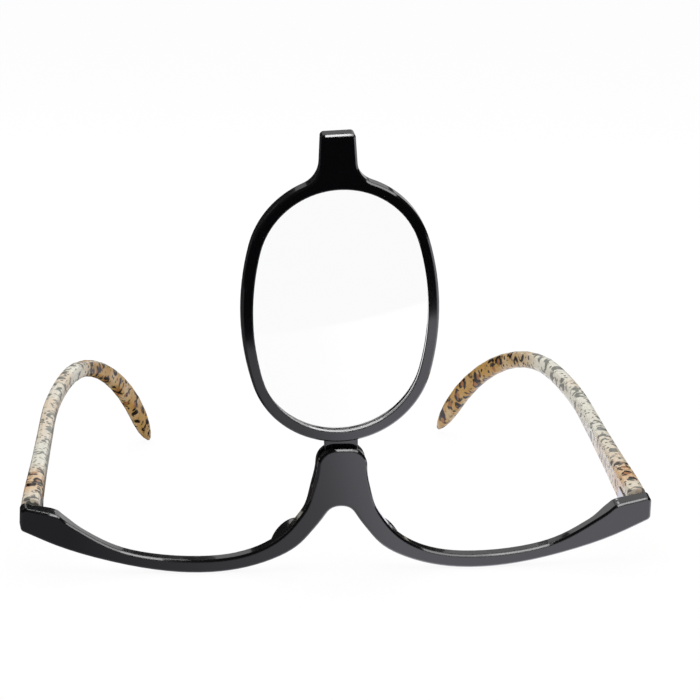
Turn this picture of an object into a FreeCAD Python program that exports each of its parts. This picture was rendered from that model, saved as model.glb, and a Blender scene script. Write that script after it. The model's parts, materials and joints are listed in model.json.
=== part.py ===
# Reading glasses with one lens that swings from eye to eye, in millimetres and degrees.
# The pieces are drawn in the front's own frame: x to the viewer's right, y back towards
# the face, z up the front. At the end the whole object is leaned until it stands on the
# lowest points of its half rims and its left temple tip, as it does on a table.
import FreeCAD, Part
import math
import os
from FreeCAD import Matrix, Placement, Rotation, Vector

os.makedirs("parts", exist_ok=True)

# Front
front_width = 140.0
front_depth = 3.6
front_bow = 3.5
front_edge_bevel = 0.45
end_corner_round = 1.1
bridge_top_height = 29.0
bridge_top_round = 4.0
bridge_depth = 5.6
bridge_rear_bevel = 0.9
bridge_blend_length = 3.0
end_plane_depth = 7.6
end_blend = 4.6
cut_overrun = 2.0

# Outline of the front. Each pair is a share of half the front's width and a share of the
# bridge's top height above the lowest point of the half rims.
inner_edge_shares = [
    (0.092, 0.667), (0.110, 0.528), (0.132, 0.440), (0.167, 0.332), (0.233, 0.211),
    (0.314, 0.137), (0.446, 0.104), (0.571, 0.122), (0.693, 0.186), (0.820, 0.348),
    (0.870, 0.431), (0.914, 0.479)]
lower_edge_shares = [
    (1.000, 0.333), (0.900, 0.226), (0.729, 0.096), (0.447, 0.000), (0.314, 0.030),
    (0.211, 0.106), (0.127, 0.228), (0.089, 0.333), (0.053, 0.450), (0.000, 0.534)]
end_top_share = 0.521
bridge_top_half_share = 0.078
bridge_side_share = 0.0855

# Nose pads, moulded with the front
pad_centre_shares = (0.163, 0.250)
pad_half_thickness = 1.2
pad_half_reach = 3.0
pad_half_length = 5.0
pad_centre_back = 4.2
pad_slope_angle = 42.0
pad_toe_out_angle = 6.0

# Pivot of the lens rim, in a slot through the top of the bridge
pivot_below_top = 4.5
slot_front_wall = 1.8
slot_below_pivot = 4.9
washer_thickness = 0.2
washer_radius = 2.8
pivot_play = 0.05
pivot_screw_radius = 0.8
pivot_head_radius = 1.6
pivot_head_height = 0.9
pivot_head_seat = 1.0
insert_radius = 1.5
insert_length = 1.2
driver_slot_width = 0.35
driver_slot_depth = 0.4

# Lens rim: an oval of four arcs, a finger tab above and the pivot tongue below
rim_height = 60.8
rim_width = 43.1
rim_end_radius = 20.2
rim_band = 2.4
rim_depth = 3.6
rim_edge_bevel = 0.45
rim_swing_gap = 0.33
rim_lean_angle = 2.8
tab_reach = 10.1
tab_width = 7.4
tab_root_width = 8.6
tab_fillet = 5.5
tab_corner_round = 0.9
tongue_width = 7.3
tongue_thickness = 1.5
tongue_flare = 0.8

# Lens: a thin meniscus with a rib round its edge that sits in the rim's groove
lens_front_radius = 150.0
lens_rear_radius = 1000.0
lens_edge_thickness = 1.2
lens_rib_width = 1.1
lens_rib_reach = 0.7
lens_fit = 0.05

# Temples
temple_gap = 0.2
temple_inset = 0.4
temple_thickness = 4.1
temple_height = 8.1
temple_top_drop = 0.15
temple_straight = 84.0
temple_slope_angle = 0.9
temple_bend_radius = 54.0
temple_bend_angle = 58.0
temple_tip_length = 9.0
temple_curl_start = 59.0
temple_curl = 20.3
temple_corner_share = 0.34
left_rest_fold_angle = 8.55
right_rest_fold_angle = 1.0
core_width = 0.8
core_height = 0.8
core_tip_margin = 9.0
core_fit = 0.05

# Sections of a temple: share of its length, of its full height and of its full thickness
temple_section_shares = [
    (0.000, 1.00, 1.00), (0.060, 0.93, 1.00), (0.120, 0.82, 0.95), (0.200, 0.71, 0.86),
    (0.300, 0.60, 0.81), (0.450, 0.51, 0.77), (0.580, 0.47, 0.74), (0.660, 0.47, 0.72),
    (0.740, 0.48, 0.71), (0.820, 0.51, 0.69), (0.900, 0.54, 0.67), (0.945, 0.52, 0.62),
    (0.972, 0.43, 0.50), (0.990, 0.28, 0.36), (1.000, 0.13, 0.20)]
temple_bend_steps = 10
temple_curl_steps = 5

# Hinges: two knuckles on the front, one between them on the temple
knuckle_radius = 1.1
knuckle_height = 1.15
knuckle_gap = 0.05
knuckle_clearance = 0.15
hinge_drop = 0.86
leaf_thickness = 0.8
leaf_sink = 0.5
front_leaf_length = 3.4
temple_leaf_length = 8.4
pocket_clearance = 0.15
relief_depth = 0.2
hinge_screw_radius = 0.5
hinge_screw_play = 0.03
hinge_head_radius = 0.85
hinge_head_height = 0.4
leaf_screw_radius = 0.6
leaf_screw_length = 2.2
front_screw_spread = 1.9
front_screw_margin = 1.05
temple_screw_spread = 3.4
temple_screw_margin = 1.6
temple_screw_drop = 0.5

# Lengths that follow from the sizes above
front_half = front_width / 2
bow_radius = (front_half ** 2 + front_bow ** 2) / (2 * front_bow)
pivot_height = bridge_top_height - pivot_below_top
slot_width = tongue_thickness + 2 * washer_thickness + 2 * pivot_play
slot_back = slot_front_wall + slot_width
tongue_front = slot_front_wall + washer_thickness + pivot_play
rim_bottom = pivot_height + front_half * bridge_side_share + rim_swing_gap
rim_middle = rim_bottom + rim_height / 2
rim_top = rim_bottom + rim_height
tab_top = rim_top + tab_reach
pivot_bore = pivot_screw_radius + pivot_play
inner_face = front_half - temple_inset - temple_thickness
hinge_offset = knuckle_radius - leaf_sink
hinge_x = inner_face - hinge_offset
hinge_y = end_plane_depth + hinge_offset
stack_height = 3 * knuckle_height + 2 * knuckle_gap
leaf_room = knuckle_radius + knuckle_clearance
temple_front = end_plane_depth + temple_gap
temple_x = inner_face + temple_thickness / 2
temple_z = bridge_top_height * end_top_share + temple_top_drop - temple_height / 2
hinge_z = temple_z - hinge_drop
UP = Vector(0, 0, 1)
BACK = Vector(0, 1, 0)
RIGHT = Vector(1, 0, 0)
ORIGIN = Vector(0, 0, 0)


def line(a, b):
    return Part.LineSegment(a, b).toShape()


def arc(a, b, c):
    return Part.Arc(a, b, c).toShape()


def spline(points, first=None, last=None):
    curve = Part.BSplineCurve()
    if first is None:
        curve.interpolate(Points=points)
    else:
        curve.interpolate(Points=points, InitialTangent=first, FinalTangent=last)
    return curve.toShape()


def wire(edges):
    return Part.Wire(Part.__sortEdges__(edges))


def box(low, high):
    size = high - low
    return Part.makeBox(size.x, size.y, size.z, low)


def mirrored(shape):
    return shape.mirror(ORIGIN, RIGHT)


def middle(edge):
    return edge.valueAt((edge.FirstParameter + edge.LastParameter) / 2)


def bow(x):
    return bow_radius - math.sqrt(bow_radius ** 2 - x ** 2)


def on_front(shares):
    return Vector(shares[0] * front_half, 0, shares[1] * bridge_top_height)


def along_y(shape, start, end):
    moved = shape.copy()
    moved.translate(Vector(0, start, 0))
    return moved.extrude(Vector(0, end - start, 0))


def front_outline():
    """The front seen square on, as one closed wire in the plane y = 0."""
    top = Vector(0, 0, bridge_top_height)
    side = Vector(front_half * bridge_top_half_share, 0, bridge_top_height - bridge_top_round)
    corner = Vector(side.x - bridge_top_round, 0, bridge_top_height)
    bulge = Vector(corner.x, 0, side.z) + Vector(1, 0, 1).normalize() * bridge_top_round
    inner = [side] + [on_front(p) for p in inner_edge_shares]
    lower = [on_front(p) for p in lower_edge_shares]
    end_top = Vector(front_half, 0, bridge_top_height * end_top_share)
    end_slope = end_top - inner[-1]
    side_slope = -UP * (inner[1] - side).Length
    right = [
        line(top, corner), arc(corner, bulge, side),
        spline(inner, side_slope, end_slope),
        line(inner[-1], end_top), line(end_top, lower[0]),
        spline(lower, lower[1] - lower[0], -RIGHT * front_half)]
    return wire(right + [mirrored(edge) for edge in right])


def front_plan():
    """The front seen from above: a bowed front, a thick bridge and thick end plates."""
    side = front_half + cut_overrun
    flat = front_half * bridge_top_half_share
    blend_end = flat + bridge_blend_length
    plate = hinge_x - front_leaf_length - pocket_clearance - leaf_sink
    rear = [
        Vector(0, bridge_depth, 0), Vector(flat, bridge_depth, 0),
        Vector(blend_end, bow(blend_end) + front_depth, 0),
        Vector(plate - end_blend, bow(plate - end_blend) + front_depth, 0),
        Vector(plate, end_plane_depth, 0), Vector(side, end_plane_depth, 0)]
    half_way = (rear[2].x + rear[3].x) / 2
    bowed = arc(rear[2], Vector(half_way, bow(half_way) + front_depth, 0), rear[3])
    blend_in = Vector(bridge_blend_length, bridge_blend_length * bow(blend_end) * 2 / blend_end, 0)
    blend_out = Vector(end_blend, end_blend * bow(plate) * 2 / plate, 0)
    right = [
        line(rear[0], rear[1]), spline([rear[1], rear[2]], RIGHT * bridge_blend_length, blend_in),
        bowed, spline([rear[3], rear[4]], blend_out, RIGHT * end_blend),
        line(rear[4], rear[5]), line(rear[5], Vector(side, bow(side), 0))]
    left = [mirrored(edge) for edge in right]
    front = arc(Vector(-side, bow(side), 0), ORIGIN, Vector(side, bow(side), 0))
    return wire(right + left + [front])


def lozenge(half_long, half_wide):
    """Two arcs that meet in points at the top and bottom, in the plane y = 0."""
    top = Vector(0, 0, half_long)
    side = Vector(half_wide, 0, 0)
    return Part.Face(Part.Wire([arc(top, side, -top), arc(-top, -side, top)]))


def nose_pad():
    """The right pad: a pillow that follows the flank of the nose arch and reaches back."""
    long_reach = pad_half_length + cut_overrun
    thin = lozenge(long_reach, pad_half_thickness)
    deep = lozenge(pad_half_length, pad_half_reach)
    pad = along_y(thin, -long_reach, long_reach)
    deep = along_y(deep, -long_reach, long_reach)
    deep.rotate(ORIGIN, UP, 90)
    pad = pad.common(deep)
    centre = on_front(pad_centre_shares) + BACK * pad_centre_back
    turn = Rotation(BACK, -pad_slope_angle).multiply(Rotation(UP, -pad_toe_out_angle))
    pad.Placement = Placement(centre, turn)
    return pad


def front_blank():
    """The moulding before it is slotted and drilled, with its front edges and the bridge's rear bevelled."""
    height = bridge_top_height + cut_overrun
    outline = Part.Face(front_outline())
    plan = Part.Face(front_plan())
    plan.translate(Vector(0, 0, -cut_overrun))
    blank = along_y(outline, -cut_overrun, end_plane_depth + cut_overrun)
    ends = [e for e in blank.Edges if abs(abs(middle(e).x) - front_half) < cut_overrun
            and abs(e.tangentAt(e.FirstParameter).y) > abs(e.tangentAt(e.FirstParameter).x)]
    blank = blank.makeFillet(end_corner_round, ends)
    blank = blank.common(plan.extrude(Vector(0, 0, height + cut_overrun)))
    rim = [e for e in blank.Edges if abs(middle(e).y - bow(middle(e).x)) < front_edge_bevel / 4
           and len(e.Vertexes) == 2]
    blank = blank.makeChamfer(front_edge_bevel, rim)
    rear = [e for e in blank.Edges if abs(middle(e).y - bridge_depth) < bridge_rear_bevel / 4
            and middle(e).z > pivot_height - slot_below_pivot - tongue_flare
            and abs(e.tangentAt(e.FirstParameter).y) < 1 / 2]
    return blank.makeChamfer(bridge_rear_bevel, rear)


def cylinder(centre, direction, radius, length):
    return Part.makeCylinder(radius, length, centre, direction)


def front_screw_places():
    """Heads of the two screws through the right front leaf."""
    x = hinge_x - front_leaf_length + front_screw_margin
    y = end_plane_depth - leaf_sink + leaf_thickness
    return [Vector(x, y, hinge_z + side * front_screw_spread / 2) for side in (-1, 1)]


def temple_screw_places():
    """Heads of the two screws through the right temple leaf."""
    x = inner_face + leaf_sink - leaf_thickness
    y = hinge_y + temple_leaf_length - temple_screw_margin
    return [Vector(x, y - count * temple_screw_spread, hinge_z - temple_screw_drop)
            for count in (0, 1)]


def leaf_screw(place, direction):
    """A headless screw, flush with its leaf; direction points into the plastic."""
    return cylinder(place, direction, leaf_screw_radius, leaf_screw_length)


def front_frame():
    front = front_blank()
    pad = nose_pad()
    front = front.fuse(pad).fuse(mirrored(pad))
    across = front_half * bridge_side_share + bridge_blend_length
    pivot = Vector(0, 0, pivot_height)
    cuts = [
        box(Vector(-across, slot_front_wall, pivot_height - slot_below_pivot),
            Vector(across, slot_back, bridge_top_height + cut_overrun)),
        cylinder(pivot + BACK * (slot_front_wall - insert_length), BACK,
                 insert_radius, insert_length + pivot_play),
        cylinder(pivot + BACK * slot_front_wall, BACK, pivot_bore, bridge_depth),
        cylinder(pivot + BACK * (bridge_depth - pivot_head_seat), BACK,
                 pivot_head_radius + pivot_play, pivot_head_seat + cut_overrun)]
    half_pocket = stack_height / 2 + pocket_clearance
    hinge_cuts = [
        box(Vector(hinge_x - front_leaf_length, end_plane_depth - leaf_sink,
                   hinge_z - half_pocket),
            Vector(hinge_x + leaf_room, end_plane_depth + cut_overrun, hinge_z + half_pocket)),
        box(Vector(hinge_x - leaf_room, end_plane_depth - leaf_sink - relief_depth,
                   hinge_z - half_pocket),
            Vector(hinge_x + leaf_room, end_plane_depth, hinge_z + half_pocket))]
    hinge_cuts += [leaf_screw(place, -BACK) for place in front_screw_places()]
    for cut in cuts + hinge_cuts + [mirrored(cut) for cut in hinge_cuts]:
        front = front.cut(cut)
    return front


def knuckle(count):
    """One of the three knuckles, counted from below, still solid."""
    foot = hinge_z - stack_height / 2 + count * (knuckle_height + knuckle_gap)
    return cylinder(Vector(hinge_x, hinge_y, foot), UP, knuckle_radius, knuckle_height)


def pin_bore():
    foot = Vector(hinge_x, hinge_y, hinge_z - stack_height / 2 - cut_overrun)
    return cylinder(foot, UP, hinge_screw_radius + hinge_screw_play,
                    stack_height + 2 * cut_overrun)


def front_hinge():
    """The right front leaf with its upper and lower knuckles."""
    face = end_plane_depth - leaf_sink
    foot = hinge_z - stack_height / 2
    leaf = box(Vector(hinge_x - front_leaf_length, face, foot),
               Vector(hinge_x - leaf_room, face + leaf_thickness, foot + stack_height))
    for count in (0, 2):
        barrel = knuckle(count)
        level = foot + count * (knuckle_height + knuckle_gap)
        strap = box(Vector(hinge_x - leaf_room, face, level),
                    Vector(hinge_x, face + leaf_thickness, level + knuckle_height))
        leaf = leaf.fuse(barrel).fuse(strap)
    seat = Vector(hinge_x, hinge_y, foot + stack_height - hinge_head_height)
    leaf = leaf.cut(pin_bore())
    leaf = leaf.cut(cylinder(seat, UP, hinge_head_radius + hinge_screw_play,
                             hinge_head_height + cut_overrun))
    for place in front_screw_places():
        leaf = leaf.cut(leaf_screw(place, -BACK))
    return leaf


def temple_hinge():
    """The right temple leaf with the middle knuckle."""
    face = inner_face + leaf_sink
    foot = hinge_z - stack_height / 2
    leaf = box(Vector(face - leaf_thickness, hinge_y + leaf_room, foot),
               Vector(face, hinge_y + temple_leaf_length, foot + stack_height))
    level = foot + knuckle_height + knuckle_gap
    strap = box(Vector(face - leaf_thickness, hinge_y, level),
                Vector(face, hinge_y + leaf_room, level + knuckle_height))
    leaf = leaf.fuse(knuckle(1)).fuse(strap).cut(pin_bore())
    for place in temple_screw_places():
        leaf = leaf.cut(leaf_screw(place, RIGHT))
    return leaf


def hinge_screw():
    """The slotted screw that is the right hinge's pin."""
    foot = Vector(hinge_x, hinge_y, hinge_z - stack_height / 2)
    top = foot + UP * stack_height
    screw = cylinder(foot, UP, hinge_screw_radius, stack_height)
    screw = screw.fuse(cylinder(top - UP * hinge_head_height, UP, hinge_head_radius,
                                hinge_head_height))
    slot = box(top + Vector(-hinge_head_radius, -driver_slot_width / 2, -driver_slot_depth / 2),
               top + Vector(hinge_head_radius, driver_slot_width / 2, driver_slot_depth))
    return screw.cut(slot)


def temple_length():
    return temple_straight + temple_bend_radius * math.radians(temple_bend_angle) + temple_tip_length


def side_profile(distance):
    """Run back, drop and slope of a temple's centre line at a distance along it."""
    slope = math.radians(temple_slope_angle)
    last = math.radians(temple_slope_angle + temple_bend_angle)
    run = min(distance, temple_straight)
    back = run * math.cos(slope)
    drop = run * math.sin(slope)
    angle = slope
    if distance > temple_straight:
        bent = (distance - temple_straight) / temple_bend_radius
        angle = min(slope + bent, last)
        back += temple_bend_radius * (math.sin(angle) - math.sin(slope))
        drop += temple_bend_radius * (math.cos(slope) - math.cos(angle))
        rest = max(distance - temple_length() + temple_tip_length, 0)
        back += rest * math.cos(angle)
        drop += rest * math.sin(angle)
    return back, drop, angle


def temple_station(distance):
    """Centre of the right temple's section there, its side direction and its up direction."""
    back, drop, angle = side_profile(distance)
    tip_back = side_profile(temple_length())[0]
    beyond = max(back - temple_curl_start, 0) / (tip_back - temple_curl_start)
    inward = temple_curl * beyond ** 2
    lean_in = -2 * temple_curl * beyond / (tip_back - temple_curl_start)
    along = Vector(lean_in * math.cos(angle), math.cos(angle), -math.sin(angle))
    if distance == 0:
        along = BACK
    side = along.cross(UP)
    side.normalize()
    up = side.cross(along)
    up.normalize()
    return Vector(temple_x - inward, temple_front + back, temple_z - drop), side, up


def section_wire(station, corners):
    """A closed polygon of (sideways, upward) pairs at a station."""
    centre, side, up = station
    points = [centre + side * across + up * high for across, high in corners]
    return Part.makePolygon(points + points[:1])


def soft_section(half_wide, half_high, corner):
    """A rectangle whose corners are rounded in two steps, as (sideways, upward) pairs."""
    dip = corner * (1 - math.sqrt(1 / 2))
    quarter = [(half_wide, half_high - corner), (half_wide - dip, half_high - dip),
               (half_wide - corner, half_high)]
    right = quarter[::-1] + [(across, -high) for across, high in quarter]
    return right + [(-across, high) for across, high in right[::-1]]


def temple_distances():
    """Where the temple's sections stand: at the table's shares and evenly round its bends."""
    length = temple_length()
    bend_start = temple_straight
    bend_end = length - temple_tip_length
    distances = [share * length for share, high, thick in temple_section_shares
                 if share * length < temple_curl_start or share * length > bend_end]
    distances += [temple_curl_start + (bend_start - temple_curl_start) * i / temple_curl_steps
                  for i in range(temple_curl_steps)]
    distances += [bend_start + (bend_end - bend_start) * i / temple_bend_steps
                  for i in range(temple_bend_steps + 1)]
    return sorted(distances)


def temple_size(distance):
    """Half the temple's thickness and half its height there, between the table's shares."""
    share = distance / temple_length()
    for low, high in zip(temple_section_shares, temple_section_shares[1:]):
        if low[0] <= share <= high[0]:
            part = (share - low[0]) / (high[0] - low[0])
            tall = low[1] + (high[1] - low[1]) * part
            thick = low[2] + (high[2] - low[2]) * part
            return temple_thickness * thick / 2, temple_height * tall / 2
    return temple_thickness * high[2] / 2, temple_height * high[1] / 2


def core_bar(fit):
    """The wire in the right temple, or with a fit the channel that it lies in."""
    end = temple_length() - core_tip_margin
    start = core_fit - fit
    inside = [d for d in temple_distances() if start < d < end - core_tip_margin / 2]
    wide = core_width / 2 + fit
    high = core_height / 2 + fit
    square = [(wide, high), (wide, -high), (-wide, -high), (-wide, high)]
    sections = [section_wire(temple_station(distance), square)
                for distance in [start] + inside + [end + fit]]
    return Part.makeLoft(sections, True, True)


def temple():
    sections = []
    for distance in temple_distances():
        half_wide, half_high = temple_size(distance)
        corner = half_wide * 2 * temple_corner_share
        sections.append(section_wire(temple_station(distance),
                                     soft_section(half_wide, half_high, corner)))
    body = Part.makeLoft(sections, True, True)
    half_pocket = stack_height / 2 + pocket_clearance
    cuts = [
        box(Vector(inner_face - cut_overrun, temple_front - cut_overrun, hinge_z - half_pocket),
            Vector(inner_face + leaf_sink, hinge_y + temple_leaf_length, hinge_z + half_pocket)),
        box(Vector(inner_face - cut_overrun, temple_front - cut_overrun, hinge_z - half_pocket),
            Vector(inner_face + leaf_sink + relief_depth, hinge_y + leaf_room,
                   hinge_z + half_pocket)),
        core_bar(core_fit)]
    cuts += [leaf_screw(place, RIGHT) for place in temple_screw_places()]
    for cut in cuts:
        body = body.cut(cut)
    return body


def oval(inset):
    """The lens rim's oval, drawn in from its outer edge by the inset: four arcs."""
    half_wide = rim_width / 2
    half_high = rim_height / 2
    end_offset = half_high - rim_end_radius
    side_radius = (half_wide ** 2 + end_offset ** 2 - rim_end_radius ** 2) \
        / (2 * (half_wide - rim_end_radius))
    side_offset = side_radius - half_wide
    lean = math.atan2(end_offset, side_offset)
    x = (side_radius - inset) * math.cos(lean) - side_offset
    z = (side_radius - inset) * math.sin(lean)
    wide = half_wide - inset
    high = half_high - inset

    def at(px, pz):
        return Vector(px, 0, rim_middle + pz)
    return Part.Wire([
        arc(at(x, -z), at(wide, 0), at(x, z)), arc(at(x, z), at(0, high), at(-x, z)),
        arc(at(-x, z), at(-wide, 0), at(-x, -z)), arc(at(-x, -z), at(0, -high), at(x, -z))])


def rim_blank():
    """The oval and its finger tab as one block, with the tab's fillets."""
    foot = rim_top - rim_band / 2
    corners = [Vector(side * width / 2, 0, z) for side, width, z in (
        (-1, tab_root_width, foot), (1, tab_root_width, foot),
        (1, tab_width, tab_top), (-1, tab_width, tab_top))]
    tab = Part.Face(Part.makePolygon(corners + corners[:1]))
    block = along_y(Part.Face(oval(0)), 0, rim_depth).fuse(along_y(tab, 0, rim_depth))
    block = block.removeSplitter()
    upright = [e for e in block.Edges if abs(e.tangentAt(e.FirstParameter).y) > 1 / 2]
    roots = [e for e in upright if rim_band > rim_top - middle(e).z > 0
             and abs(middle(e).x) > tab_width / 2]
    block = block.makeFillet(tab_fillet, roots)
    tips = [e for e in block.Edges if middle(e).z > tab_top - tab_corner_round
            and abs(e.tangentAt(e.FirstParameter).y) > 1 / 2]
    return block.makeFillet(tab_corner_round, tips)


def tongue():
    """The flat tongue below the rim, with the pivot's eye and flares into the rim."""
    half = tongue_width / 2
    wide = half + tongue_flare
    join = rim_bottom + rim_end_radius - math.sqrt(rim_end_radius ** 2 - wide ** 2)
    inside = rim_bottom + rim_band / 2
    turn = tongue_flare * (1 - math.sqrt(1 / 2))

    def at(x, z):
        return Vector(x, 0, z)
    right = [
        line(at(half, pivot_height), at(half, join - tongue_flare)),
        arc(at(half, join - tongue_flare), at(half + turn, join - turn), at(wide, join)),
        line(at(wide, join), at(wide, inside))]
    edges = right + [mirrored(edge) for edge in right] + [
        line(at(wide, inside), at(-wide, inside)),
        arc(at(half, pivot_height), at(0, pivot_height - half), at(-half, pivot_height))]
    plate = along_y(Part.Face(wire(edges)), tongue_front, tongue_front + tongue_thickness)
    return plate.cut(cylinder(at(0, pivot_height), BACK, pivot_bore, bridge_depth))


def lens_rim():
    rim = rim_blank()
    outer = [e for e in rim.Edges if abs(e.tangentAt(e.FirstParameter).y) < 1 / 2]
    rim = rim.makeChamfer(rim_edge_bevel, outer)
    groove = along_y(Part.Face(oval(rim_band - lens_rib_reach - lens_fit)),
                     (rim_depth - lens_rib_width) / 2 - lens_fit,
                     (rim_depth + lens_rib_width) / 2 + lens_fit)
    opening = along_y(Part.Face(oval(rim_band)), 0, rim_depth)
    return rim.cut(opening).cut(groove).fuse(tongue())


def sag(radius, reach):
    return radius - math.sqrt(radius ** 2 - reach ** 2)


def magnifier_lens():
    """A meniscus, thickest at its middle, with a rib round its edge."""
    edge = rim_height / 2 - rim_band
    front_edge = (rim_depth - lens_edge_thickness) / 2
    rear_edge = front_edge + lens_edge_thickness
    front_top = front_edge - sag(lens_front_radius, edge)
    front_ball = Vector(0, front_top + lens_front_radius, rim_middle)
    rear_ball = Vector(0, rear_edge - sag(lens_rear_radius, edge) + lens_rear_radius, rim_middle)
    body = along_y(Part.Face(oval(rim_band + lens_fit)), front_top - cut_overrun, rim_depth)
    body = body.common(Part.makeSphere(lens_front_radius, front_ball))
    body = body.cut(Part.makeSphere(lens_rear_radius, rear_ball))
    rib = along_y(Part.Face(oval(rim_band - lens_rib_reach)),
                  (rim_depth - lens_rib_width) / 2, (rim_depth + lens_rib_width) / 2)
    return body.fuse(rib)


def pivot_screw():
    pivot = Vector(0, 0, pivot_height)
    seat = pivot + BACK * (bridge_depth - pivot_head_seat)
    foot = pivot + BACK * (slot_front_wall - insert_length + pivot_play)
    screw = cylinder(foot, BACK, pivot_screw_radius, (seat - foot).y)
    screw = screw.fuse(cylinder(seat, BACK, pivot_head_radius, pivot_head_height))
    top = seat + BACK * pivot_head_height
    slot = box(top + Vector(-pivot_head_radius, -driver_slot_depth, -driver_slot_width / 2),
               top + Vector(pivot_head_radius, driver_slot_depth, driver_slot_width / 2))
    return screw.cut(slot)


def ring(start, thickness, outer):
    """A washer or insert on the pivot's axis."""
    place = Vector(0, start, pivot_height)
    return cylinder(place, BACK, outer, thickness).cut(
        cylinder(place, BACK, pivot_bore, thickness))


def turned(shape, centre, direction, angle):
    moved = shape.copy()
    moved.rotate(centre, direction, angle)
    return moved


def all_pieces():
    """Every node's shape in the front's frame, at the photographed opening."""
    pivot = Vector(0, 0, pivot_height)
    pieces = {
        "front_frame": front_frame(),
        "lens_rim": turned(lens_rim(), pivot, BACK, -rim_lean_angle),
        "magnifier_lens": turned(magnifier_lens(), pivot, BACK, -rim_lean_angle),
        "pivot_screw": pivot_screw(),
        "pivot_insert": ring(slot_front_wall - insert_length, insert_length, insert_radius),
        "pivot_front_washer": ring(slot_front_wall, washer_thickness, washer_radius),
        "pivot_rear_washer": ring(slot_back - washer_thickness, washer_thickness, washer_radius)}
    fixed = {
        "front_hinge": front_hinge(),
        "hinge_screw": hinge_screw(),
        "front_hinge_screws": Part.makeCompound(
            [leaf_screw(place, -BACK) for place in front_screw_places()])}
    folding = {
        "temple": temple(),
        "temple_core": core_bar(0),
        "temple_hinge": temple_hinge(),
        "temple_hinge_screws": Part.makeCompound(
            [leaf_screw(place, RIGHT) for place in temple_screw_places()])}
    hinge = Vector(hinge_x, hinge_y, 0)
    far_hinge = Vector(-hinge_x, hinge_y, 0)
    for name, shape in fixed.items():
        pieces["right_" + name] = shape
        pieces["left_" + name] = mirrored(shape)
    for name, shape in folding.items():
        pieces["right_" + name] = turned(shape, hinge, UP, right_rest_fold_angle)
        pieces["left_" + name] = turned(mirrored(shape), far_hinge, UP, -left_rest_fold_angle)
    return pieces


def mesh_points(shape):
    return shape.tessellate(knuckle_gap)[0]


def lowest(points, lean):
    return min(p.z * math.cos(lean) + p.y * math.sin(lean) for p in points)


def standing_lean(pieces):
    """The lean at which the half rims and the left temple tip are equally low."""
    front = mesh_points(pieces["front_frame"])
    arm = mesh_points(pieces["left_temple"])
    small, large = 0, math.radians(30)
    for step in range(40):
        lean = (small + large) / 2
        if lowest(arm, lean) < lowest(front, lean):
            small = lean
        else:
            large = lean
    return small


pieces = all_pieces()
lean = standing_lean(pieces)
leaned = Rotation(RIGHT, math.degrees(lean))
corners = [leaned.multVec(p) for shape in pieces.values() for p in mesh_points(shape)]
xs = [p.x for p in corners]
ys = [p.y for p in corners]
base = Vector(-(min(xs) + max(xs)) / 2, -(min(ys) + max(ys)) / 2, -min(p.z for p in corners))
stand = Placement(base, leaned)
for name, shape in pieces.items():
    placed = shape.copy()
    placed.Placement = stand.multiply(placed.Placement)
    placed.exportStep("parts/" + name + ".step")
print("lean", math.degrees(lean), "base", base)
print("pivot", stand.multVec(Vector(0, 0, pivot_height)))
print("left hinge", stand.multVec(Vector(-hinge_x, hinge_y, hinge_z)))
print("right hinge", stand.multVec(Vector(hinge_x, hinge_y, hinge_z)))
for name, shape in pieces.items():
    print(name, shape.isValid(), len(shape.Solids), round(shape.Volume, 2))
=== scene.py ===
"""Looks of a pair of make-up reading glasses whose single lens swings from side to side on the bridge."""
import json
import math

import bpy
from mathutils import Matrix, Vector

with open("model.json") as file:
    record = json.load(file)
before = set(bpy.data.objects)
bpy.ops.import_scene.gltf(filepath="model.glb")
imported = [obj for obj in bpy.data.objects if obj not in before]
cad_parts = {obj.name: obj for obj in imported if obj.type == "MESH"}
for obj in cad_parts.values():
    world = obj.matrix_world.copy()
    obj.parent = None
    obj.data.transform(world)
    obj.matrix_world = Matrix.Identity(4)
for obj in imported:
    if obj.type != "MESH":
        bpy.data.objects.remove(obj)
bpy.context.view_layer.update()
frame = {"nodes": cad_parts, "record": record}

# A name that ends in RAMP is where a change starts and ends. One that ends in NOISE is a noise's features per
# metre and its detail. One that ends in ROUGHNESS is a value, or a range that a noise fills.
MM = 0.001
WHITE = (1, 1, 1, 1)

# Camera, as the photograph has it
IMAGE_SIDE = 700
CAMERA_TARGET = Vector((1.84, -63.1, 49.53)) * MM
CAMERA_DISTANCE = 1154.4 * MM
CAMERA_YAW = math.radians(-8.19)
CAMERA_PITCH = math.radians(11.14)
CAMERA_ROLL = math.radians(0.77)
FOCAL_PIXELS = 5286
SENSOR = 36
CLIP_START = 0.05
CLIP_END = 50

# Table: how the camera and the other surfaces see it
FLOOR_HALF_SIDE = 4.0
TABLE_OWN_LIGHT = 0.91
TABLE_SHADED = (0.11, 0.11, 0.11, 1)
TABLE_BOUNCE = (0.8, 0.8, 0.8, 1)

# Table: the painted light and shade that only the gloss of the glasses shows on it, how bright and where
TABLE_GLOSS_TINT = (0.95, 0.93, 1.02, 1)
TABLE_GLOSS_LEFT = 0.17
TABLE_GLOSS_MIDDLE = 0.56
TABLE_GLOSS_RIGHT = 1.1
TABLE_GLOSS_BEHIND = 0.15
TABLE_LEFT_RAMP = (-60 * MM, -4 * MM)
TABLE_RIGHT_RAMP = (-4 * MM, 16 * MM)
TABLE_EDGE_RAMP = (-164 * MM, -158 * MM)
TABLE_EDGE_SLOPE = -0.29
TABLE_BEHIND_RAMP = (-40 * MM, 0)
TABLE_BEHIND_LEFT_RAMP = (5 * MM, -25 * MM)
TABLE_FAR_BACK_RAMP = (80 * MM, 140 * MM)

# World
WORLD_DIFFUSE = 0.62
ROOM_GLOSS = 0.02

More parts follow.
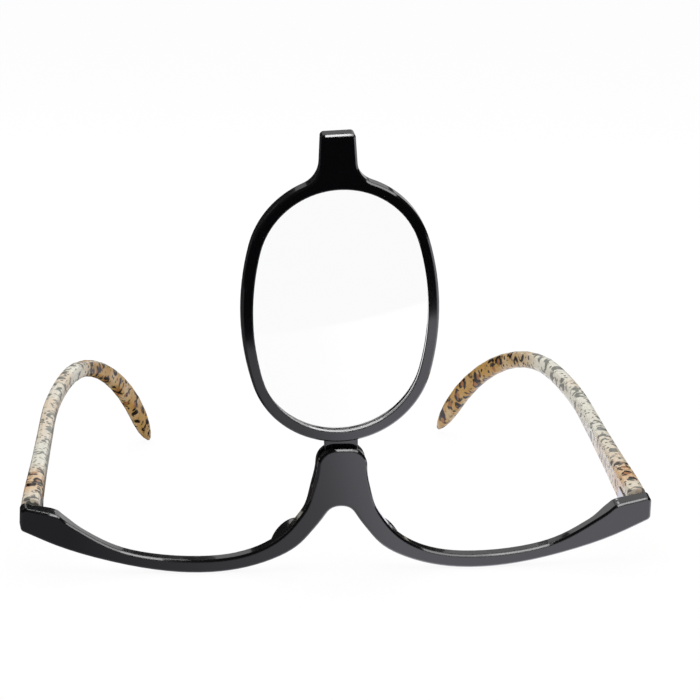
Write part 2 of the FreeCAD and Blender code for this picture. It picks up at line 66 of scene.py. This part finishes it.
# Cards that only the gloss of the glasses shows: low and high corners in mm, and brightness
CARDS = {
    "low_card": ((-15, 200, 0), (36, 200, 135), 1.0),
    "left_slope_card": ((36, 200, 0), (120, 200, 135), 0.5),
    "right_slope_card": ((-70, 200, 110), (-12, 200, 200), 0.5),
    "slope_start_card": ((-12, 200, 182), (26, 200, 215), 0.4),
    "gap_card": ((10, 200, 173), (42, 200, 182), 0.4),
    "ring_card": ((26, 200, 197), (42, 200, 220), 2.5),
    "right_card": ((42, 200, 150), (500, 200, 225), 0.4),
    "high_card": ((-500, 200, 225), (500, 200, 420), 0.3),
    "pad_card": ((-300, 200, 165), (-155, 200, 225), 1.0),
    "tab_card": ((-8, -186, 250), (12, -120, 250), 11.0),
    "top_card": ((12, -300, 250), (90, -120, 250), 5.0),
    "right_top_card": ((90, -300, 250), (250, -120, 250), 3.0),
}

# Soft boxes: place and size in metres, and brightness
SOFT_BOXES = {
    "back_soft_box": ((0.08, 0.40, 0.42), (0.6, 0.30), 1.3),
    "top_soft_box": ((-0.10, -0.25, 0.75), (0.7, 0.7), 0.9),
}
SOFT_BOX_AIM = (0, -0.03, 0.02)

# Finishes
EDGE_SAMPLES = 6

BLACK = (0.0035, 0.0035, 0.0042)
BLACK_FLOW_NOISE = (60, 3)
BLACK_FLOW_DEPTH = 0.05 * MM
BLACK_HAZE_NOISE = (900, 3)
BLACK_ROUGHNESS = (0.08, 0.14)
BLACK_IOR = 1.56
BLACK_COAT_ROUGHNESS = 0.03
FRONT_EDGE_RADIUS = 0.45 * MM
RIM_EDGE_RADIUS = 0.35 * MM

ACRYLIC_IOR = 1.49
ACRYLIC_HAZE_NOISE = (300, 2)
ACRYLIC_ROUGHNESS = (0.0, 0.006)
ACRYLIC_SPECULAR_LEVEL = 0.3

STEEL = (0.60, 0.60, 0.61)
STEEL_ROUGHNESS = (0.18, 0.32)
BRASS = (0.72, 0.50, 0.20)
BRASS_ROUGHNESS = (0.2, 0.35)
METAL_MARK_NOISE = (2600, 3)
METAL_MARK_STRETCH = (1.0, 1.0, 6.0)
METAL_MARK_SHADE = 0.82
METAL_MARK_DEPTH = 0.01 * MM
METAL_EDGE_RADIUS = 0.1 * MM

NYLON = (0.012, 0.012, 0.012)
NYLON_PALE = (0.022, 0.022, 0.021)
NYLON_GRAIN_NOISE = (2200, 2)
NYLON_ROUGHNESS = (0.38, 0.5)

# Print: its colours
PRINT_PEACH = (0.90, 0.60, 0.34)
# The cream of the middle is partly the print's own and partly painted reflection of the white backdrop. It is
# also the colour of the random paler patches.
PRINT_CREAM = (0.93, 0.90, 0.78)
PRINT_GOLD = (0.58, 0.33, 0.08)
PRINT_SPOT = (0.022, 0.010, 0.005)
# The grey of the middle spots is partly the print's own and partly painted reflection of the white backdrop.
PRINT_SPOT_GREY_AND_SHEEN = (0.27, 0.27, 0.24)
PRINT_HEART = (0.36, 0.11, 0.025)

# Print: its zones along the temple, in Y. The pale middle between the hinge end and the tip is partly painted
# reflection.
PRINT_ROOT_RAMP = (-49 * MM, -55 * MM)
PRINT_ROOT_SHARE = 0.7
PRINT_HINGE_END_RAMP = (-32 * MM, -45 * MM)
PRINT_TIP_RAMP = (30 * MM, 44 * MM)

# Print: its spots. Distances from a spot's centre are shares of the spacing, PRINT_CELL or PRINT_DOT.
PRINT_CELL = 3.3 * MM
PRINT_CELL_RANDOMNESS = 0.8
PRINT_WOBBLE_NOISE = (500, 2)
PRINT_WOBBLE_REACH = PRINT_CELL / 3
PRINT_RING_RADIUS = 0.36
PRINT_RING_RAMP = (0.20, 0.10)
PRINT_BREAK_NOISE = (500, 1)
PRINT_BREAK_RAMP = (0.42, 0.52)
PRINT_HEART_RAMP = (0.30, 0.18)
PRINT_HEART_SHARE = 0.8
PRINT_DOT = 1.25 * MM
PRINT_DOT_RAMP = (0.38, 0.24)
PRINT_BETWEEN_RAMP = (0.52, 0.62)

# Print: its uneven colour and its lacquer
PRINT_SHADE_NOISE = (160, 2)
PRINT_SHADE_RAMP = (0.4, 0.7)
PRINT_SHADE_SHARE = 0.3
PRINT_BLUSH_NOISE = (45, 1)
PRINT_BLUSH_RAMP = (0.48, 0.62)
PRINT_BLUSH_SHARE = 0.45
PRINT_RIPPLE_NOISE = (90, 2)
PRINT_RIPPLE_DEPTH = 0.08 * MM
PRINT_ROUGHNESS = (0.3, 0.4)
PRINT_IOR = 1.3
PRINT_COAT_WEIGHT = 0.4
PRINT_COAT_IOR = 1.35
PRINT_COAT_ROUGHNESS = 0.05
PRINT_EDGE_RADIUS = 0.5 * MM


def set_inputs(tree, node, inputs):
    """Gives a node's inputs their values, or links them to other nodes' sockets."""
    for name, value in inputs.items():
        if isinstance(value, bpy.types.NodeSocket):
            tree.links.new(value, node.inputs[name])
        else:
            node.inputs[name].default_value = value


def add(tree, kind, inputs=None, **settings):
    """A new shader node with its settings and inputs."""
    node = tree.nodes.new(kind)
    for name, value in settings.items():
        setattr(node, name, value)
    set_inputs(tree, node, inputs or {})
    return node


def math_node(tree, operation, first, second=0.0):
    """The output of a Math node."""
    return add(tree, "ShaderNodeMath", {0: first, 1: second}, operation=operation).outputs[0]


def vector_math(tree, operation, inputs):
    """The output of a Vector Math node."""
    return add(tree, "ShaderNodeVectorMath", inputs, operation=operation).outputs[0]


def smooth_step(tree, value, ramp):
    """A socket that goes smoothly from 0 at the ramp's start to 1 at its end."""
    inputs = {"Value": value, "From Min": ramp[0], "From Max": ramp[1]}
    return add(tree, "ShaderNodeMapRange", inputs, interpolation_type="SMOOTHSTEP").outputs["Result"]


def carry(tree, value, source, target):
    """The value carried evenly from the source range to the target range."""
    inputs = {
        "Value": value, "From Min": source[0], "From Max": source[1],
        "To Min": target[0], "To Max": target[1]}
    return add(tree, "ShaderNodeMapRange", inputs).outputs["Result"]


def mix_value(tree, share, first, second):
    """The number that goes from first to second as share goes from 0 to 1."""
    return add(tree, "ShaderNodeMix", {0: share, 2: first, 3: second}).outputs[0]


def mix_colour(tree, share, first, second):
    """The colour that goes from first to second as share goes from 0 to 1."""
    first, second = ((*colour, 1) if isinstance(colour, tuple) else colour for colour in (first, second))
    return add(tree, "ShaderNodeMix", {0: share, 6: first, 7: second}, data_type="RGBA").outputs[2]


def mix_shader(tree, share, first, second):
    """The output of a Mix Shader."""
    return add(tree, "ShaderNodeMixShader", {0: share, 1: first, 2: second}).outputs[0]


def emission(tree, colour, strength=1.0):
    """The output of an Emission shader."""
    return add(tree, "ShaderNodeEmission", {"Color": colour, "Strength": strength}).outputs[0]


def noise(tree, place, per_metre, detail):
    """A noise texture, as its node."""
    return add(tree, "ShaderNodeTexNoise", {"Vector": place, "Scale": per_metre, "Detail": detail})


def voronoi_distance(tree, place, spacing, randomness):
    """The distance to the nearest of scattered points, as a share of their spacing."""
    inputs = {"Vector": place, "Scale": 1 / spacing, "Randomness": randomness}
    return add(tree, "ShaderNodeTexVoronoi", inputs).outputs["Distance"]


def soft_edges(tree, radius, height, depth):
    """A normal that rounds edges by a radius, with a bump of the given height pattern and depth."""
    normal = add(tree, "ShaderNodeBevel", {"Radius": radius}, samples=EDGE_SAMPLES).outputs["Normal"]
    inputs = {"Height": height, "Distance": depth, "Normal": normal}
    return add(tree, "ShaderNodeBump", inputs).outputs["Normal"]


def new_material(name):
    """A material with its node tree, its Principled shader and the place of each point in metres."""
    material = bpy.data.materials.new(name)
    material.use_nodes = True
    tree = material.node_tree
    place = add(tree, "ShaderNodeTexCoord").outputs["Object"]
    return material, tree, tree.nodes["Principled BSDF"], place


def gloss_black(name, edge_radius):
    """Polished black plastic, with faint mould flow and fine polishing haze."""
    material, tree, shader, place = new_material(name)
    flow = noise(tree, place, *BLACK_FLOW_NOISE).outputs["Fac"]
    haze = noise(tree, place, *BLACK_HAZE_NOISE).outputs["Fac"]
    normal = soft_edges(tree, edge_radius, flow, BLACK_FLOW_DEPTH)
    set_inputs(tree, shader, {
        "Base Color": (*BLACK, 1), "Roughness": carry(tree, haze, (0, 1), BLACK_ROUGHNESS), "IOR": BLACK_IOR,
        "Coat Weight": 1.0, "Coat Roughness": BLACK_COAT_ROUGHNESS, "Normal": normal, "Coat Normal": normal})
    return material


def print_zones(tree, place):
    """Shares along a temple: of its hinge end, less at the root, of its tip, and the larger of the two. The
    middle, where both are low, is partly painted reflection.
    """
    along = add(tree, "ShaderNodeSeparateXYZ", {0: place}).outputs["Y"]
    root = math_node(tree, "MULTIPLY", smooth_step(tree, along, PRINT_ROOT_RAMP), PRINT_ROOT_SHARE)
    hinge_end = math_node(tree, "SUBTRACT", smooth_step(tree, along, PRINT_HINGE_END_RAMP), root)
    tip = smooth_step(tree, along, PRINT_TIP_RAMP)
    return hinge_end, tip, math_node(tree, "MAXIMUM", hinge_end, tip)


def print_spots(tree, place):
    """Two shares: of the broken rings and the dots between them, and of the rings' hearts."""
    wobble = noise(tree, place, *PRINT_WOBBLE_NOISE).outputs["Color"]
    centred = vector_math(tree, "SUBTRACT", {0: wobble, 1: (0.5, 0.5, 0.5)})
    moved = vector_math(tree, "SCALE", {0: centred, "Scale": PRINT_WOBBLE_REACH})
    bent = vector_math(tree, "ADD", {0: place, 1: moved})
    distance = voronoi_distance(tree, bent, PRINT_CELL, PRINT_CELL_RANDOMNESS)
    ring = math_node(tree, "ABSOLUTE", math_node(tree, "SUBTRACT", distance, PRINT_RING_RADIUS))
    breaks = smooth_step(tree, noise(tree, place, *PRINT_BREAK_NOISE).outputs["Fac"], PRINT_BREAK_RAMP)
    ring = math_node(tree, "MULTIPLY", smooth_step(tree, ring, PRINT_RING_RAMP), breaks)
    dot = smooth_step(tree, voronoi_distance(tree, bent, PRINT_DOT, 1.0), PRINT_DOT_RAMP)
    dot = math_node(tree, "MULTIPLY", dot, smooth_step(tree, distance, PRINT_BETWEEN_RAMP))
    return math_node(tree, "MAXIMUM", ring, dot), smooth_step(tree, distance, PRINT_HEART_RAMP)


def spotted_print(name):
    """A leopard print under clear lacquer: a pale root, then peach, a cream middle and a gold tip.

    The spots are dark at both ends, with reddish hearts, and grey in the middle. The cream middle and its
    grey spots are partly the print's own and partly painted reflection of the white backdrop.
    """
    material, tree, shader, place = new_material(name)
    hinge_end, tip, ends = print_zones(tree, place)
    spots, hearts = print_spots(tree, place)
    shade = noise(tree, place, *PRINT_SHADE_NOISE).outputs["Fac"]
    blush = smooth_step(tree, noise(tree, place, *PRINT_BLUSH_NOISE).outputs["Fac"], PRINT_BLUSH_RAMP)
    warm = math_node(tree, "MAXIMUM", hinge_end, math_node(tree, "MULTIPLY", blush, PRINT_BLUSH_SHARE))
    # Cream in the middle: partly the print's own, partly painted reflection.
    colour = mix_colour(tree, warm, PRINT_CREAM, PRINT_PEACH)
    colour = mix_colour(tree, tip, colour, PRINT_GOLD)
    pale = math_node(tree, "MULTIPLY", smooth_step(tree, shade, PRINT_SHADE_RAMP), PRINT_SHADE_SHARE)
    colour = mix_colour(tree, pale, colour, PRINT_CREAM)
    hearts = math_node(tree, "MULTIPLY", hearts, math_node(tree, "MULTIPLY", ends, PRINT_HEART_SHARE))
    colour = mix_colour(tree, hearts, colour, PRINT_HEART)
    # Spots are grey in the middle, partly painted reflection, and dark at the ends.
    colour = mix_colour(tree, spots, colour, mix_colour(tree, ends, PRINT_SPOT_GREY_AND_SHEEN, PRINT_SPOT))
    ripple = noise(tree, place, *PRINT_RIPPLE_NOISE).outputs["Fac"]
    normal = soft_edges(tree, PRINT_EDGE_RADIUS, ripple, PRINT_RIPPLE_DEPTH)
    set_inputs(tree, shader, {
        "Base Color": colour, "Roughness": carry(tree, shade, (0, 1), PRINT_ROUGHNESS), "IOR": PRINT_IOR,
        "Coat Weight": PRINT_COAT_WEIGHT, "Coat IOR": PRINT_COAT_IOR, "Coat Roughness": PRINT_COAT_ROUGHNESS,
        "Normal": normal, "Coat Normal": normal})
    return material


def clear_acrylic(name):
    """Clear polished acrylic."""
    material, tree, shader, place = new_material(name)
    haze = noise(tree, place, *ACRYLIC_HAZE_NOISE).outputs["Fac"]
    set_inputs(tree, shader, {
        "Base Color": WHITE, "Roughness": carry(tree, haze, (0, 1), ACRYLIC_ROUGHNESS), "IOR": ACRYLIC_IOR,
        "Transmission Weight": 1.0, "Specular IOR Level": ACRYLIC_SPECULAR_LEVEL})
    return material


def brushed_metal(name, colour, roughness):
    """Metal with fine turning or brushing marks."""
    material, tree, shader, place = new_material(name)
    drawn = add(tree, "ShaderNodeMapping", {"Vector": place, "Scale": METAL_MARK_STRETCH}).outputs[0]
    marks = noise(tree, drawn, *METAL_MARK_NOISE).outputs["Fac"]
    shaded = tuple(METAL_MARK_SHADE * channel for channel in colour)
    set_inputs(tree, shader, {
        "Base Color": mix_colour(tree, marks, shaded, colour), "Metallic": 1.0,
        "Roughness": carry(tree, marks, (0, 1), roughness),
        "Normal": soft_edges(tree, METAL_EDGE_RADIUS, marks, METAL_MARK_DEPTH)})
    return material


def satin_nylon(name):
    """Black nylon of the friction washers."""
    material, tree, shader, place = new_material(name)
    grain = noise(tree, place, *NYLON_GRAIN_NOISE).outputs["Fac"]
    set_inputs(tree, shader, {
        "Base Color": mix_colour(tree, grain, NYLON, NYLON_PALE),
        "Roughness": carry(tree, grain, (0, 1), NYLON_ROUGHNESS)})
    return material


def dress_nodes():
    """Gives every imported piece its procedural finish, by its material slot in the record."""
    finishes = {
        "front": gloss_black("front_gloss_black", FRONT_EDGE_RADIUS),
        "rim": gloss_black("rim_gloss_black", RIM_EDGE_RADIUS),
        "lens": clear_acrylic("lens_clear_acrylic"),
        "temple_print": spotted_print("temple_leopard_print"),
        "steel": brushed_metal("hinge_steel", STEEL, STEEL_ROUGHNESS),
        "brass": brushed_metal("insert_brass", BRASS, BRASS_ROUGHNESS),
        "washer": satin_nylon("washer_nylon"),
    }
    for row in frame["record"]["subparts"]:
        for slot in frame["nodes"][row["node"]].material_slots:
            slot.material = finishes[row["material_slot"]]


def make_camera():
    """The camera at the photograph's viewing angle."""
    pitch = math.cos(CAMERA_PITCH)
    back = Vector((math.sin(CAMERA_YAW) * pitch, -math.cos(CAMERA_YAW) * pitch, math.sin(CAMERA_PITCH)))
    level_right = (-back).cross(Vector((0, 0, 1))).normalized()
    level_up = level_right.cross(-back)
    right = level_right * math.cos(CAMERA_ROLL) + level_up * math.sin(CAMERA_ROLL)
    up = level_up * math.cos(CAMERA_ROLL) - level_right * math.sin(CAMERA_ROLL)
    data = bpy.data.cameras.new("camera")
    data.sensor_width = SENSOR
    data.lens = FOCAL_PIXELS / IMAGE_SIDE * SENSOR
    data.clip_start = CLIP_START
    data.clip_end = CLIP_END
    camera = bpy.data.objects.new("camera", data)
    turn = Matrix((right, up, back)).transposed().to_4x4()
    camera.matrix_world = Matrix.Translation(CAMERA_TARGET + back * CAMERA_DISTANCE) @ turn
    bpy.context.scene.collection.objects.link(camera)
    bpy.context.scene.camera = camera


def painted_table_gloss(tree, place):
    """How bright the gloss of the glasses shows the table, as painted light and shade that glows only for
    glossy rays.

    It is brighter towards the right and dimmer behind the left half and far back, and it ends along a slanted
    line about 80 mm in front of the glasses.
    """
    axes = add(tree, "ShaderNodeSeparateXYZ", {0: place}).outputs
    slant = math_node(tree, "MULTIPLY", axes["X"], TABLE_EDGE_SLOPE)
    in_reach = smooth_step(tree, math_node(tree, "SUBTRACT", axes["Y"], slant), TABLE_EDGE_RAMP)
    left_part = carry(tree, axes["X"], TABLE_LEFT_RAMP, (TABLE_GLOSS_LEFT, TABLE_GLOSS_MIDDLE))
    right_part = smooth_step(tree, axes["X"], TABLE_RIGHT_RAMP)
    right_part = math_node(tree, "MULTIPLY", right_part, TABLE_GLOSS_RIGHT - TABLE_GLOSS_MIDDLE)
    across = math_node(tree, "ADD", left_part, right_part)
    behind = smooth_step(tree, axes["Y"], TABLE_BEHIND_RAMP)
    behind = math_node(tree, "MULTIPLY", behind, smooth_step(tree, axes["X"], TABLE_BEHIND_LEFT_RAMP))
    dimmed = math_node(tree, "MAXIMUM", behind, smooth_step(tree, axes["Y"], TABLE_FAR_BACK_RAMP))
    dimmed = math_node(tree, "MULTIPLY", dimmed, 1 - TABLE_GLOSS_BEHIND)
    across = math_node(tree, "MULTIPLY", across, math_node(tree, "SUBTRACT", 1.0, dimmed))
    return math_node(tree, "MULTIPLY", in_reach, across)


def make_floor():
    """A white table, which the camera sees as white with faint shadows."""
    bpy.ops.mesh.primitive_plane_add(size=2 * FLOOR_HALF_SIDE)
    floor = bpy.context.object
    floor.name = "floor"
    material, tree, shader, place = new_material("white_table")
    tree.nodes.remove(shader)
    # Painted reflection: the table glows for glossy rays only, with painted light and shade.
    painted_reflection = emission(tree, TABLE_GLOSS_TINT, painted_table_gloss(tree, place))
    bounced = add(tree, "ShaderNodeBsdfDiffuse", {"Color": TABLE_BOUNCE}).outputs[0]
    shaded = add(tree, "ShaderNodeBsdfDiffuse", {"Color": TABLE_SHADED}).outputs[0]
    seen = add(tree, "ShaderNodeAddShader", {0: emission(tree, WHITE, TABLE_OWN_LIGHT), 1: shaded}).outputs[0]
    path = add(tree, "ShaderNodeLightPath").outputs
    surface = mix_shader(tree, path["Is Glossy Ray"], bounced, painted_reflection)
    surface = mix_shader(tree, path["Is Transmission Ray"], surface, emission(tree, WHITE))
    surface = mix_shader(tree, path["Is Camera Ray"], surface, seen)
    set_inputs(tree, tree.nodes["Material Output"], {"Surface": surface})
    floor.data.materials.append(material)


def make_card(name, low, high, brightness):
    """A card between two corners, upright or level, which only the gloss of the glasses shows."""
    (x0, y0, z0), (x1, y1, z1) = Vector(low) * MM, Vector(high) * MM
    corners = [(x0, y0, z0), (x1, y0, z0), (x1, y1, z1), (x0, y1, z1)]
    mesh = bpy.data.meshes.new(name)
    mesh.from_pydata(corners, [], [(0, 1, 2, 3)])
    material = bpy.data.materials.new(name)
    material.use_nodes = True
    tree = material.node_tree
    tree.nodes.remove(tree.nodes["Principled BSDF"])
    set_inputs(tree, tree.nodes["Material Output"], {"Surface": emission(tree, WHITE, brightness)})
    mesh.materials.append(material)
    card = bpy.data.objects.new(name, mesh)
    card.visible_camera = False
    card.visible_diffuse = False
    card.visible_shadow = False
    card.visible_transmission = False
    bpy.context.scene.collection.objects.link(card)


def make_world():
    """White to the camera and through the lens, dark in the gloss of the glasses, and grey as a light."""
    world = bpy.data.worlds.new("studio")
    world.use_nodes = True
    bpy.context.scene.world = world
    tree = world.node_tree
    path = add(tree, "ShaderNodeLightPath").outputs
    white = math_node(tree, "MAXIMUM", path["Is Camera Ray"], path["Is Transmission Ray"])
    other = mix_value(tree, path["Is Glossy Ray"], WORLD_DIFFUSE, ROOM_GLOSS)
    strength = mix_value(tree, white, other, 1.0)
    set_inputs(tree, tree.nodes["Background"], {"Color": WHITE, "Strength": strength})


def make_soft_box(name, place, size, brightness):
    """A soft box whose face has the given brightness. It gives no mirror image: the cards do that."""
    data = bpy.data.lights.new(name, "AREA")
    data.shape = "RECTANGLE"
    data.size, data.size_y = size
    data.energy = brightness * math.pi * size[0] * size[1]
    lamp = bpy.data.objects.new(name, data)
    lamp.location = place
    lamp.rotation_mode = "QUATERNION"
    lamp.rotation_quaternion = (Vector(SOFT_BOX_AIM) - Vector(place)).to_track_quat("-Z", "Y")
    lamp.visible_glossy = False
    bpy.context.scene.collection.objects.link(lamp)


bpy.context.scene.view_settings.view_transform = "Standard"
dress_nodes()
make_floor()
make_world()
for card_name, card in CARDS.items():
    make_card(card_name, *card)
for box_name, soft_box in SOFT_BOXES.items():
    make_soft_box(box_name, *soft_box)
make_camera()
